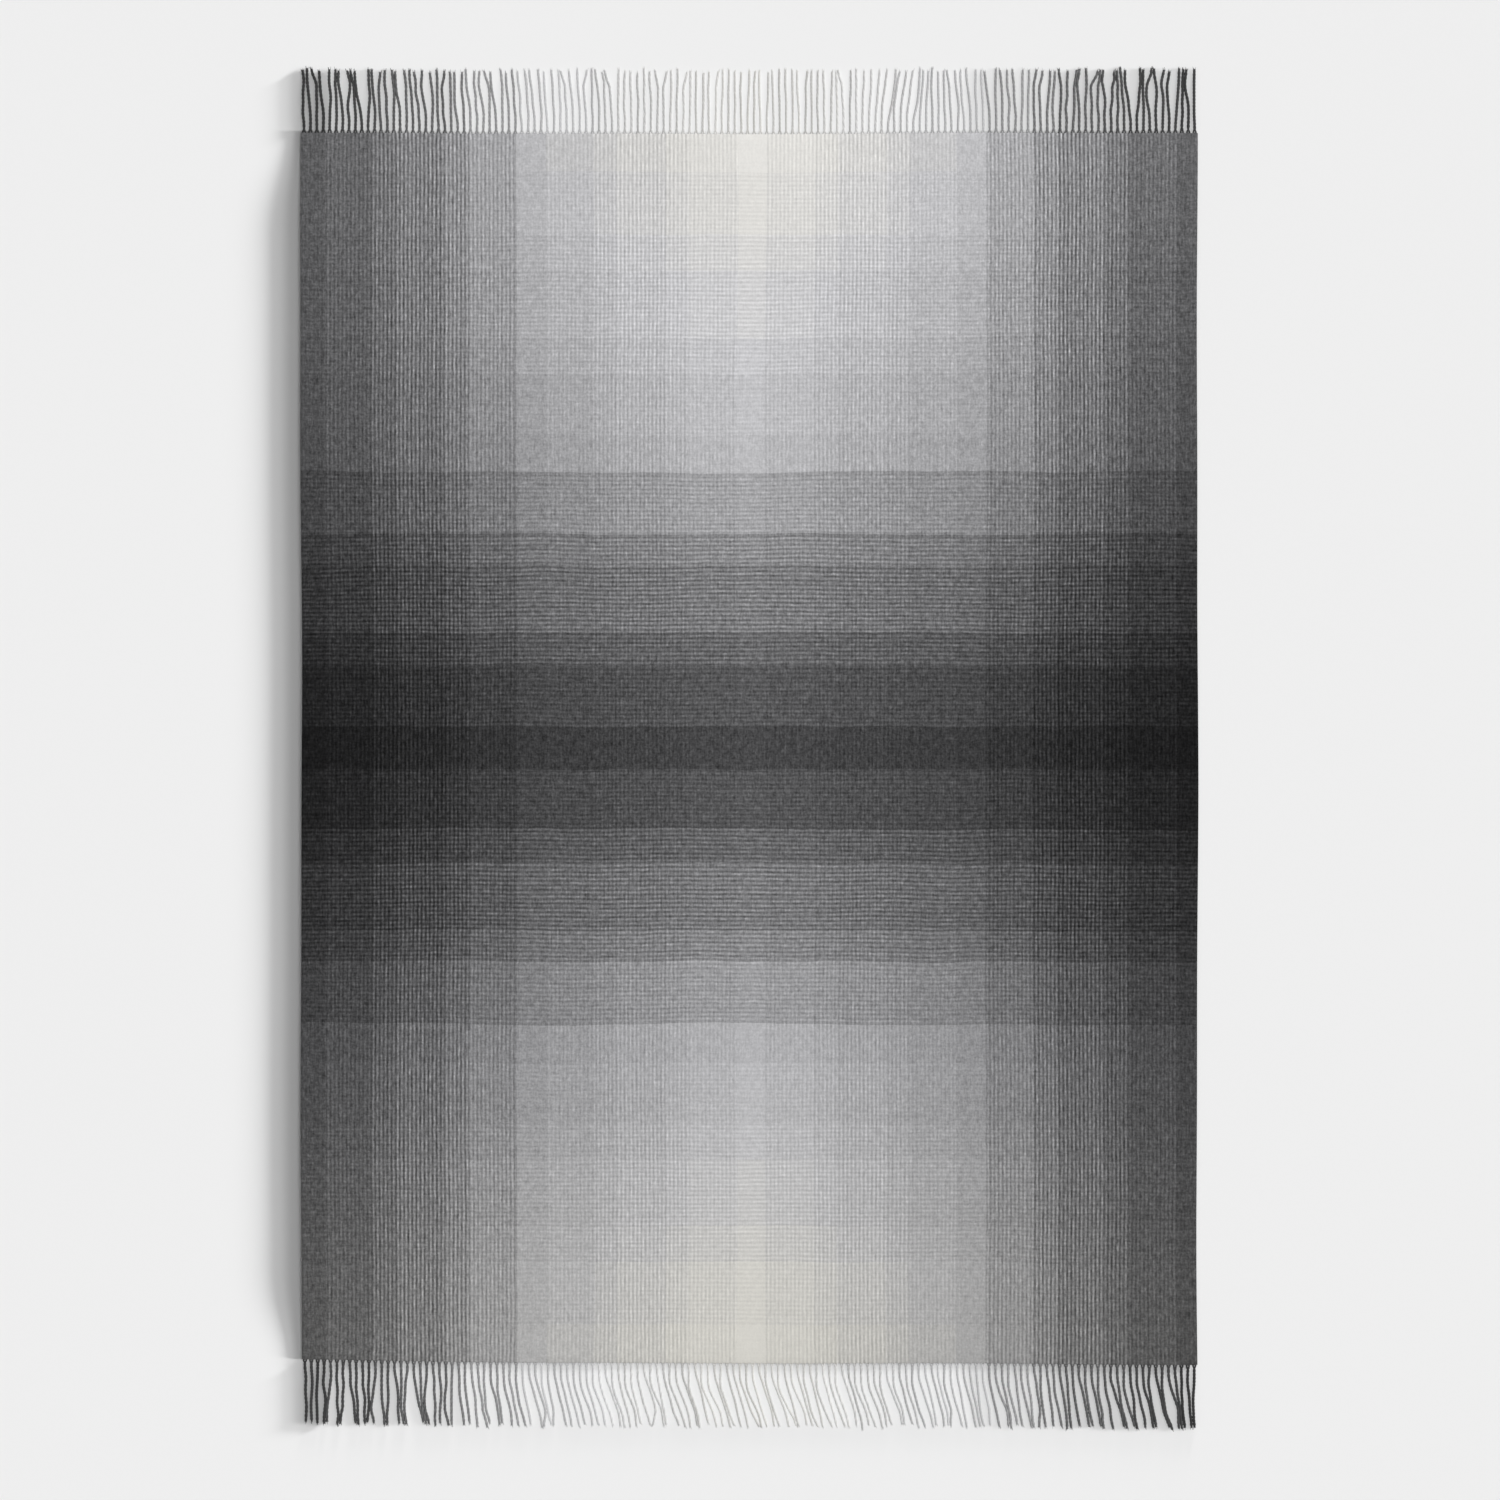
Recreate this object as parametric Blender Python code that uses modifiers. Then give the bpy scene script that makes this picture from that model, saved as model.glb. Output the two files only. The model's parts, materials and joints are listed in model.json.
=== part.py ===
"""Woven throw blanket, spread out flat, with a fringe of twisted tassels at each end.

The frame: +Z up, +Y towards the far fringe, +X to the right, origin on the floor under the
middle of the cloth. The near half lies still. The far half folds up about the mid fold line,
which runs along X a little above the cloth, and lands on the near half.
"""

import math

import bpy

# Driving dimensions, in metres
CLOTH_WIDTH = 1.300
CLOTH_LENGTH = 1.784
CLOTH_THICKNESS = 0.003
CLOTH_EDGE_RADIUS = 0.0012
FRINGE_LENGTH = 0.090
FRINGE_THICKNESS = 0.0026
TASSEL_PITCH = 0.0093
TASSEL_WIDTH = 0.0042
TASSEL_TIP_TAPER = 0.008
ROOT_STRIP_DEPTH = 0.003
FOLD_HEADROOM = 0.003
PIECE_GAP = 0.0003

# The fringe comes in this many bunches at each end, however many tassels it has
BUNCHES_PER_END = 28

# Warp stripes from the middle of the cloth out to its edge: width in metres, shade of the yarn
WARP_STRIPES = (
    (0.020, "cream"),
    (0.069, "cream_and_ivory"),
    (0.035, "ivory"),
    (0.069, "ivory_and_pearl"),
    (0.035, "pearl"),
    (0.069, "pearl_and_silver"),
    (0.041, "silver"),
    (0.069, "silver_and_ash"),
    (0.035, "ash"),
    (0.069, "ash_and_slate"),
    (0.035, "slate"),
    (0.069, "slate_and_charcoal"),
    (0.035, "charcoal"),
)

# Linear colour of each shade of yarn
SHADES = {
    "cream": (0.76, 0.75, 0.71),
    "cream_and_ivory": (0.67, 0.66, 0.64),
    "ivory": (0.60, 0.60, 0.58),
    "ivory_and_pearl": (0.53, 0.53, 0.52),
    "pearl": (0.46, 0.46, 0.46),
    "pearl_and_silver": (0.39, 0.39, 0.40),
    "silver": (0.33, 0.33, 0.34),
    "silver_and_ash": (0.21, 0.21, 0.22),
    "ash": (0.14, 0.14, 0.145),
    "ash_and_slate": (0.088, 0.088, 0.092),
    "slate": (0.060, 0.060, 0.063),
    "slate_and_charcoal": (0.035, 0.035, 0.037),
    "charcoal": (0.022, 0.022, 0.023),
}
CLOTH_COLOUR = (0.30, 0.30, 0.31)
YARN_ROUGHNESS = 0.9

COLLECTION_NAME = "Throw blanket"
FOLD_AXIS_HEIGHT = CLOTH_THICKNESS + FOLD_HEADROOM


def clear_scene():
    """Removes whatever the scene held before."""
    for old in list(bpy.data.objects):
        bpy.data.objects.remove(old)


def yarn_material(name, colour):
    """A matt yarn or cloth of one linear colour."""
    material = bpy.data.materials.new(name)
    material.use_nodes = True
    shader = material.node_tree.nodes["Principled BSDF"]
    shader.inputs["Base Color"].default_value = (*colour, 1.0)
    shader.inputs["Roughness"].default_value = YARN_ROUGHNESS
    shader.inputs["Metallic"].default_value = 0.0
    return material


def shade_at(x):
    """The yarn shade of the warp stripe at a distance x from the middle of the cloth."""
    edge = 0.0
    for stripe_width, shade in WARP_STRIPES:
        edge += stripe_width
        if abs(x) <= edge:
            return shade
    return WARP_STRIPES[-1][1]


def body_empty(collection, name, height):
    """An empty on the mid fold line or the floor, which carries one half of the throw."""
    empty = bpy.data.objects.new(name, None)
    empty.location = (0.0, 0.0, height)
    empty.empty_display_size = 0.1
    collection.objects.link(empty)
    return empty


def keep_place(piece, parent):
    """Hangs a piece on its body's empty and leaves it where it is."""
    piece.parent = parent
    piece.matrix_parent_inverse = parent.matrix_world.inverted()


def woven_panel(collection, parent, name, side):
    """Half of the woven cloth: a thin slab with softened edges. side is +1 far, -1 near."""
    length = CLOTH_LENGTH / 2 - PIECE_GAP / 2
    bpy.ops.mesh.primitive_cube_add(size=1.0)
    panel = bpy.context.active_object
    panel.name = name
    panel.data.name = name
    panel.scale = (CLOTH_WIDTH, length, CLOTH_THICKNESS)
    bpy.ops.object.transform_apply(location=False, rotation=False, scale=True)
    panel.location = (0.0, side * (PIECE_GAP / 2 + length / 2), CLOTH_THICKNESS / 2)
    bevel = panel.modifiers.new("Soft edges", "BEVEL")
    bevel.width = min(CLOTH_EDGE_RADIUS, 0.4 * CLOTH_THICKNESS)
    bevel.segments = 2
    bevel.limit_method = "ANGLE"
    panel.data.materials.append(yarn_material(f"{name}_cloth", CLOTH_COLOUR))
    move_to(panel, collection)
    bpy.context.view_layer.update()
    keep_place(panel, parent)
    return panel


def move_to(piece, collection):
    """Links a piece to the throw's collection alone."""
    for other in list(piece.users_collection):
        other.objects.unlink(piece)
    collection.objects.link(piece)


def tassel_outline(centre):
    """One tassel as five points, from its root round its tip and back, pointing along +Y."""
    left = centre - TASSEL_WIDTH / 2
    right = centre + TASSEL_WIDTH / 2
    shoulder = FRINGE_LENGTH - TASSEL_TIP_TAPER
    return [
        (left, ROOT_STRIP_DEPTH),
        (left, shoulder),
        (centre, FRINGE_LENGTH),
        (right, shoulder),
        (right, ROOT_STRIP_DEPTH),
    ]


def tassel_centres():
    """Where each tassel hangs across the width, left to right, at an even pitch."""
    count = max(BUNCHES_PER_END, round(CLOTH_WIDTH / TASSEL_PITCH))
    pitch = CLOTH_WIDTH / count
    return [(i + 0.5) * pitch - CLOTH_WIDTH / 2 for i in range(count)], pitch


def bunch_members(centres, bunch):
    """The tassels of one bunch, which shares the width evenly with the other bunches."""
    count = len(centres)
    first = math.ceil(bunch * count / BUNCHES_PER_END)
    last = math.ceil((bunch + 1) * count / BUNCHES_PER_END)
    return centres[first:last]


def tassel_bunch(collection, parent, name, members, pitch, side):
    """A run of tassels on the strip of gathered warp that their roots share, as one outline."""
    strip_left = members[0] - pitch / 2 + PIECE_GAP / 2
    strip_right = members[-1] + pitch / 2 - PIECE_GAP / 2
    outline = [(strip_right, 0.0), (strip_left, 0.0), (strip_left, ROOT_STRIP_DEPTH)]
    for centre in members:
        outline += tassel_outline(centre)
    outline.append((strip_right, ROOT_STRIP_DEPTH))

    root = CLOTH_LENGTH / 2 + PIECE_GAP
    curve = bpy.data.curves.new(name, "CURVE")
    curve.dimensions = "2D"
    curve.fill_mode = "BOTH"
    curve.extrude = FRINGE_THICKNESS / 2
    spline = curve.splines.new("POLY")
    spline.points.add(len(outline) - 1)
    for point, (x, y) in zip(spline.points, outline):
        point.co = (x, side * (root + y), 0.0, 1.0)
    spline.use_cyclic_u = True

    bunch = bpy.data.objects.new(name, curve)
    bunch.location = (0.0, 0.0, FRINGE_THICKNESS / 2)
    middle = (members[0] + members[-1]) / 2
    curve.materials.append(yarn_material(f"{name}_yarn", SHADES[shade_at(middle)]))
    collection.objects.link(bunch)
    bpy.context.view_layer.update()
    keep_place(bunch, parent)
    return bunch


def throw_half(collection, end, side, height):
    """One half of the throw: its woven panel and its bunches of tassels, on one empty."""
    parent = body_empty(collection, f"{end}_half", height)
    bpy.context.view_layer.update()
    woven_panel(collection, parent, f"woven_panel_{end}", side)
    centres, pitch = tassel_centres()
    for bunch in range(BUNCHES_PER_END):
        members = bunch_members(centres, bunch)
        name = f"{end}_tassels_{bunch + 1:02d}"
        tassel_bunch(collection, parent, name, members, pitch, side)


def build_throw():
    """The whole throw. The far half's empty lies on the mid fold line."""
    clear_scene()
    collection = bpy.data.collections.new(COLLECTION_NAME)
    bpy.context.scene.collection.children.link(collection)
    throw_half(collection, "near", -1, 0.0)
    throw_half(collection, "far", 1, FOLD_AXIS_HEIGHT)


build_throw()
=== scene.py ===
"""Woven throw blanket with graded stripes and a twisted fringe at both ends, lying flat on a pale floor.

Everything is in metres. X runs across the width, Y along the length, Z up. The cloth is one closed sheet
with closer rows at the mid fold, and every tassel is two yarns twisted round each other with a frayed tip.
"""

import json
import math

import bpy
import numpy as np
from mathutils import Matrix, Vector


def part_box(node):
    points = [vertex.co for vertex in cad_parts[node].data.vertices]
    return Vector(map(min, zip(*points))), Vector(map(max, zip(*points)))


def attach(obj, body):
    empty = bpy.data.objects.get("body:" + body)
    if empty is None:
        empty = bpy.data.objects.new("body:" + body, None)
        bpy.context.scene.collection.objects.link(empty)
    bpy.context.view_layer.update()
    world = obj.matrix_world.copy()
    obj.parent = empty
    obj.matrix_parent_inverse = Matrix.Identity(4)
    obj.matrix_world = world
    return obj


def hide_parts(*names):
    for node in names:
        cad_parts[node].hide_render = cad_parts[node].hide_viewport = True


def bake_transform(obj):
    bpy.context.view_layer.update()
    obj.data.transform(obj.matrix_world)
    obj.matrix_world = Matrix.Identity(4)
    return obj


bl_info = {
    "name": "Striped Throw Blanket",
    "version": (1, 0, 0),
    "blender": (4, 5, 0),
    "location": "View3D > Sidebar > Throw",
    "description": "Weaves a graded striped throw and twists its fringe around the packed model",
    "category": "Add Mesh",
}

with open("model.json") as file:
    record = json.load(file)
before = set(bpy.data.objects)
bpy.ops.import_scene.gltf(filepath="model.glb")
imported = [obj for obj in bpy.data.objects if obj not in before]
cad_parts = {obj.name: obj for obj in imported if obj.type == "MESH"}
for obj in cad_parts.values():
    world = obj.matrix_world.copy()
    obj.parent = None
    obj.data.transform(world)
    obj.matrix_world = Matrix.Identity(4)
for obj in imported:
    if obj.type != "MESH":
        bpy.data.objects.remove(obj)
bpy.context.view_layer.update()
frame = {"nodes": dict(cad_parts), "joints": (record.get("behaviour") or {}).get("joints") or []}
NEAR_LOW, NEAR_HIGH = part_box("woven_panel_near")
_, FAR_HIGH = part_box("woven_panel_far")
TASSEL_LOW, TASSEL_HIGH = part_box("near_tassels_01")
MID_FOLD = next(joint for joint in frame["joints"] if joint["name"] == "mid_fold")

CLOTH_WIDTH = NEAR_HIGH.x - NEAR_LOW.x
CLOTH_LENGTH = FAR_HIGH.y - NEAR_LOW.y
FRINGE_LENGTH = TASSEL_HIGH.y - TASSEL_LOW.y
FOLD_HEIGHT = MID_FOLD["pos_m"][2]
BUNCHES = sum(name.startswith("near_tassels_") for name in frame["nodes"])
TASSELS_PER_BUNCH = 5
TASSELS = BUNCHES * TASSELS_PER_BUNCH
TASSEL_PITCH = CLOTH_WIDTH / TASSELS
ROOTS = (np.arange(TASSELS) + 0.5) * TASSEL_PITCH - CLOTH_WIDTH / 2

MM = 0.001
TURN = 2.0 * math.pi
SIDE = {"FAR": 1.0, "NEAR": -1.0}

EDGE_RADIUS = 1.3 * MM
BEND_REACH = 4.5 * MM
EYE_POWER = 2.2

# Threading and weft plans, from the middle of the cloth outwards: the band's width in millimetres, its
# shade beside cream as the eye reads it, and how strongly its two yarns show as lines. Cream, silver and
# charcoal are the solid bands. The five bands between two solids have one to five threads in six of the
# next yarn, and a 3 mm band is the dark line that starts a mixed band. The whole warp lies a little to the
# right of the cloth's middle.
WARP_BANDS = (
    (20, 1.000, 0.000), (69, 0.970, 0.042), (35, 0.946, 0.070), (69, 0.916, 0.085), (35, 0.887, 0.078),
    (69, 0.858, 0.046), (41, 0.825, 0.010), (3, 0.730, 0.000), (66, 0.737, 0.120), (35, 0.658, 0.210),
    (69, 0.590, 0.250), (35, 0.534, 0.220), (69, 0.474, 0.120), (35, 0.425, 0.035),
)
WEFT_BANDS = (
    (28, 0.340, 0.025), (90, 0.406, 0.095), (49, 0.484, 0.155), (95, 0.571, 0.168), (43, 0.640, 0.130),
    (3, 0.610, 0.000), (87, 0.742, 0.070), (3, 0.715, 0.000), (57, 0.841, 0.010), (88, 0.869, 0.025),
    (52, 0.899, 0.040), (95, 0.929, 0.046), (53, 0.954, 0.040), (90, 0.979, 0.021), (59, 1.000, 0.003),
)
PATTERN_SHIFT = 0.0025

# Which way the tips lie, as (place across the width, lean) pairs in metres, with straight lines in between
FAR_LEAN = (
    (-0.65, -0.002), (-0.45, -0.005), (-0.25, -0.004), (-0.15, 0.0), (0.15, 0.0), (0.19, 0.008),
    (0.24, 0.010), (0.26, 0.0), (0.33, -0.006), (0.40, 0.0), (0.65, 0.0),
)
NEAR_LEAN = (
    (-0.65, 0.0), (-0.45, 0.002), (-0.38, 0.010), (-0.25, 0.018), (0.0, 0.021), (0.25, 0.018),
    (0.36, 0.014), (0.505, 0.010), (0.53, 0.016), (0.60, 0.012), (0.64, 0.002), (0.65, -0.006),
)

# The bunches that stop a low lamp: how many from the left edge, and how many from the right
EDGE_BUNCHES = {"dark_edges": (5, 7), "charcoal_edges": (3, 4), "left_edge": (1, 0)}

# The lamps: name, the setting that holds the light's share, how much of that share this one gives, elevation,
# azimuth and softness in degrees, the pieces that it lights, and the pieces that stop it where not all do.
LAMPS = (
    ("key", "key", 1.0, 52.0, 50.0, 30.0, "throw", None),
    ("front_fill", "front_fill", 1.0, 45.0, -100.0, 30.0, "throw", None),
    ("low_side_near", "low_side", 0.5, 5.0, -5.0, 4.6, "floor_only", "cloth_only"),
    ("low_side_far", "low_side", 0.5, 5.0, 24.0, 4.6, "floor_only", "left_edge"),
    ("side_fill_low", "side_fill", 0.5, 9.5, 9.0, 7.0, "floor_only", "charcoal_edges"),
    ("side_fill_high", "side_fill", 0.5, 14.0, 9.0, 10.0, "floor_only", "dark_edges"),
    ("far_fill", "far_fill", 1.0, 4.5, 80.0, 5.0, "floor_only", "fringe_only"),
    ("high_fill", "high_fill", 1.0, 48.0, 0.0, 25.0, "floor_only", "throw"),
)


# ---- Shapes ----------------------------------------------------------------------------------------------

def smooth_step(x):
    """Rises from 0 to 1 as x goes from 0 to 1, level at both ends: 3 x squared less 2 x cubed."""
    x = np.clip(x, 0.0, 1.0)
    return x * x * (3.0 - 2.0 * x)


def slow_waves(u, v, seed, count, shortest, longest):
    """A gentle random swell, mostly from -1 to 1: `count` sine waves of seeded direction, phase and length,
    added up and divided by the root of their number over 0.7.
    """
    draw = np.random.default_rng(seed)
    heading = draw.uniform(0.0, TURN, count)
    length = draw.uniform(shortest, longest, count)
    phase = draw.uniform(0.0, TURN, count)
    total = np.zeros(np.broadcast(u, v).shape)
    for one_heading, one_length, one_phase in zip(heading, length, phase):
        along = u * math.cos(one_heading) + v * math.sin(one_heading)
        total += np.sin(TURN * along / one_length + one_phase)
    return total / math.sqrt(count) * 0.7


def calm_at_fold(v, reach):
    """Nought on the fold line and one well away from it: 1 less the bell curve of that reach."""
    return 1.0 - np.exp(-(v / reach) ** 2)


def lift_off_floor(u, v):
    """Height of the cloth's underside: a gentle swell, level at the fold, and a left edge that stands proud.

    The left edge comes down to a tenth of its height over the last stretch before each corner.
    """
    swell_height, edge_height = 1.1 * MM, 3.1 * MM
    edge_reach, corner_reach = 60 * MM, 130 * MM
    swell = 0.5 + 0.5 * np.clip(slow_waves(u, v, seed=11, count=9, shortest=0.16, longest=0.52), -1.0, 1.0)
    left = smooth_step((-u - CLOTH_WIDTH / 2 + edge_reach) / edge_reach)
    corners = 0.1 + 0.9 * smooth_step((CLOTH_LENGTH / 2 - np.abs(v)) / corner_reach)
    return swell_height * swell * calm_at_fold(v, 45 * MM) * (1.0 - left) + edge_height * left * corners


def drift_in_plane(u, v):
    """How far the laid cloth is pulled out of square: slow waves, and a near hem that slants a little."""
    pull, corner_drop = 1.6 * MM, 7 * MM
    across = pull * slow_waves(u, v, seed=21, count=7, shortest=0.35, longest=1.3)
    along = pull * slow_waves(u, v, seed=22, count=7, shortest=0.40, longest=1.5)
    near = smooth_step(-v / (CLOTH_LENGTH / 2))
    along = along * calm_at_fold(v, 60 * MM) - corner_drop * near * (u / CLOTH_WIDTH)
    return across, along


def hem_scallop(u, v):
    """The hem is drawn out at each tassel: a cosine of one tassel pitch that dies away inside the cloth."""
    drawn_out, fade = 0.7 * MM, 4 * MM
    depth = np.exp(-(CLOTH_LENGTH / 2 - np.abs(v)) / fade)
    return np.sign(v) * drawn_out * depth * -np.cos(TURN * (u + CLOTH_WIDTH / 2) / TASSEL_PITCH)


def lay(u, v):
    """Where the cloth's underside point (u, v) lies on the floor, as x, y and z arrays."""
    across, along = drift_in_plane(u, v)
    return u + across, v + along + hem_scallop(u, v), lift_off_floor(u, v)


def cloth_stations(settings):
    """Across and along stations of the cloth's grid, closer together at the rounded edges and the fold."""
    rim = np.array([0.0, 0.35 * MM, EDGE_RADIUS])
    half_width, half_length = CLOTH_WIDTH / 2, CLOTH_LENGTH / 2
    inner = np.linspace(-half_width, half_width, 2 * TASSELS + 1)[1:-1]
    across = np.concatenate([-half_width + rim, inner, half_width - rim[::-1]])
    fine_rows = 2 * BEND_REACH
    fold_rows = np.linspace(0.0, fine_rows, 10)
    rows = round((half_length - fine_rows) / settings.row_spacing)
    outer = np.linspace(fine_rows, half_length, rows + 1)[1:-1]
    half = np.concatenate([fold_rows, outer, half_length - rim[::-1]])
    along = np.concatenate([-half[:0:-1], half])
    return across, along


def make_cloth(settings):
    """A closed sheet: two grids over (u, v), half a thickness above and below the middle, with one rim.

    The half thickness follows a quarter ellipse near the edge, h = T/2 times the root of 1 - (1 - d/r)
    squared, for d the distance to the edge, so the edge is round.
    """
    across, along = cloth_stations(settings)
    u, v = np.meshgrid(across, along)
    rows, columns = u.shape
    x, y, underside = lay(u, v)
    edge = np.minimum(CLOTH_WIDTH / 2 - np.abs(u), CLOTH_LENGTH / 2 - np.abs(v))
    round_off = np.sqrt(np.clip(1.0 - (1.0 - np.clip(edge / EDGE_RADIUS, 0.0, 1.0)) ** 2, 0.0, 1.0))
    half = settings.thickness / 2
    middle = underside + half
    top = np.stack([x, y, middle + half * round_off], axis=-1).reshape(-1, 3)
    bottom = np.stack([x, y, middle - half * round_off], axis=-1).reshape(-1, 3)

    index = np.arange(rows * columns).reshape(rows, columns)
    inside = np.zeros((rows, columns), bool)
    inside[1:-1, 1:-1] = True
    below = index.copy()
    below[inside] = rows * columns + np.arange(inside.sum())
    points = np.concatenate([top, bottom[inside.ravel()]])
    uv = np.stack([u, v], axis=-1).reshape(-1, 2)
    uv = np.concatenate([uv, uv[inside.ravel()]])

    def faces_of(grid, flip):
        corners = [grid[:-1, :-1], grid[:-1, 1:], grid[1:, 1:], grid[1:, :-1]]
        if flip:
            corners.reverse()
        return np.stack([corner.ravel() for corner in corners], axis=-1)

    faces = np.concatenate([faces_of(index, False), faces_of(below, True)])
    cloth = mesh_object("woven_cloth", points, faces)
    give_uv(cloth, "Weave", uv[faces.ravel()])
    return cloth


def mesh_object(name, points, faces, triangles=None):
    """A new smooth-shaded mesh object at the origin from points, four-sided and three-sided faces."""
    mesh = bpy.data.meshes.new(name)
    polygons = faces.tolist() + (triangles.tolist() if triangles is not None else [])
    mesh.from_pydata(points.tolist(), [], polygons)
    mesh.validate()
    mesh.shade_smooth()
    made = bpy.data.objects.new(name, mesh)
    bpy.context.scene.collection.objects.link(made)
    return made


def give_uv(made, name, values):
    """Puts one (u, v) pair per face corner into a UV map of that name."""
    layer = made.data.uv_layers.new(name=name)
    layer.data.foreach_set("uv", np.ascontiguousarray(values, dtype=np.float32).ravel())


def strand_arrays(paths, radii, sides):
    """Round strands along many paths: points, faces, cap triangles and per-corner (turn, distance) pairs.

    Ring j of a strand is path point j plus radius j times (cos a sideways + sin a upwards), a = 2 pi k /
    sides. The paths run roughly along Y, so sideways is tangent x Z and upwards is sideways x tangent. Each
    end is a fan.
    """
    strands, stations, _ = paths.shape
    tangent = np.gradient(paths, axis=1)
    tangent /= np.linalg.norm(tangent, axis=-1, keepdims=True)
    sideways = np.cross(tangent, [0.0, 0.0, 1.0])
    sideways /= np.linalg.norm(sideways, axis=-1, keepdims=True)
    upwards = np.cross(sideways, tangent)
    angle = TURN * np.arange(sides) / sides
    ring = (np.cos(angle)[None, None, :, None] * sideways[:, :, None]
            + np.sin(angle)[None, None, :, None] * upwards[:, :, None])
    rings = paths[:, :, None] + radii[:, :, None, None] * ring
    poles = np.stack([paths[:, 0] - 0.5 * radii[:, :1] * tangent[:, 0],
                      paths[:, -1] + 0.5 * radii[:, -1:] * tangent[:, -1]], axis=1)
    points = np.concatenate([rings.reshape(strands, -1, 3), poles], axis=1)

    per_strand = stations * sides + 2
    first = (np.arange(strands) * per_strand)[:, None, None]
    j = np.arange(stations - 1)[None, :, None]
    k = np.arange(sides)[None, None, :]
    following = (k + 1) % sides
    here, beyond = first + j * sides, first + (j + 1) * sides
    faces = np.stack([here + k, here + following, beyond + following, beyond + k], axis=-1).reshape(-1, 4)
    start, k = np.arange(strands)[:, None] * per_strand, np.arange(sides)[None, :]
    following = (k + 1) % sides
    last = start + (stations - 1) * sides
    pole = start + stations * sides
    near_cap = np.stack([pole + 0 * k, start + following, start + k], axis=-1)
    far_cap = np.stack([pole + 1 + 0 * k, last + k, last + following], axis=-1)
    triangles = np.concatenate([near_cap.reshape(-1, 3), far_cap.reshape(-1, 3)])

    run = np.concatenate([np.zeros((strands, 1)),
                          np.cumsum(np.linalg.norm(np.diff(paths, axis=1), axis=-1), axis=1)], axis=1)
    k = np.arange(sides)
    run_a = np.broadcast_to(run[:, :-1, None], (strands, stations - 1, sides))
    run_b = np.broadcast_to(run[:, 1:, None], (strands, stations - 1, sides))
    turn_a = np.broadcast_to(k / sides, run_a.shape)
    turn_b = turn_a + 1.0 / sides
    corners = np.stack([np.stack([turn_a, run_a], -1), np.stack([turn_b, run_a], -1),
                        np.stack([turn_b, run_b], -1), np.stack([turn_a, run_b], -1)], axis=-2)
    cap_corners = np.zeros((len(triangles), 3, 2))
    cap_corners[len(triangles) // 2:, :, 1] = run[0, -1]
    uv = np.concatenate([corners.reshape(-1, 2), cap_corners.reshape(-1, 2)])
    return points.reshape(-1, 3), faces, triangles, uv, per_strand


def band_values(place, bands, half):
    """The shade of the band that each place lies in, counting |place| outwards from the middle."""
    outer = np.cumsum([width for width, _, _ in bands]) * MM
    which = np.searchsorted(outer * half / outer[-1], np.abs(place))
    return np.array([shade for _, shade, _ in bands])[np.clip(which, 0, len(bands) - 1)]


def darkness(place):
    """How dark the warp is at a place across the width, from 0 at cream to 1 at charcoal."""
    shade = band_values(place - PATTERN_SHIFT, WARP_BANDS, CLOTH_WIDTH / 2)
    return np.clip((1.0 - shade) / (1.0 - WARP_BANDS[-1][1]), 0.0, 1.0)


def lean_and_gather(side, roots, draw, settings):
    """How far each tip lies beside its root, how far it is drawn to its clump, and where the clump meets.

    The lean drifts along the hem. Neighbours are gathered in clumps of one to four, and each tip moves
    towards its clump's middle by a seeded share, which is larger among the dark tassels. A dark clump also
    sways to one side.
    """
    own_lean, clump_sway = 1.2 * MM, 2.6 * MM
    dark = darkness(roots)
    lean_points = np.array(FAR_LEAN if side == "FAR" else NEAR_LEAN)
    lean = np.interp(roots, lean_points[:, 0], lean_points[:, 1]) + draw.normal(0.0, own_lean, TASSELS)
    sizes = draw.choice([1, 2, 3, 4], size=TASSELS, p=[0.30, 0.44, 0.23, 0.03])
    clump = np.repeat(np.arange(TASSELS), sizes)[:TASSELS]
    lean = lean + draw.normal(0.0, clump_sway, TASSELS)[clump] * dark
    middle = np.bincount(clump, roots + lean) / np.maximum(np.bincount(clump), 1)
    clumping = settings.far_clumping if side == "FAR" else settings.near_clumping
    share = draw.uniform(0.2, 1.0, TASSELS)[clump] * clumping * (0.35 + 0.65 * dark)
    gather = (middle[clump] - roots - lean) * share
    meeting = draw.uniform(0.60, 1.15, TASSELS)[clump]
    return lean, gather, meeting


def tassel_widths(roots, settings):
    """Each tassel's width: fuller among the dark yarns and finer among the light ones."""
    return settings.tassel_width * (0.86 + 0.30 * darkness(roots))


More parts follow.
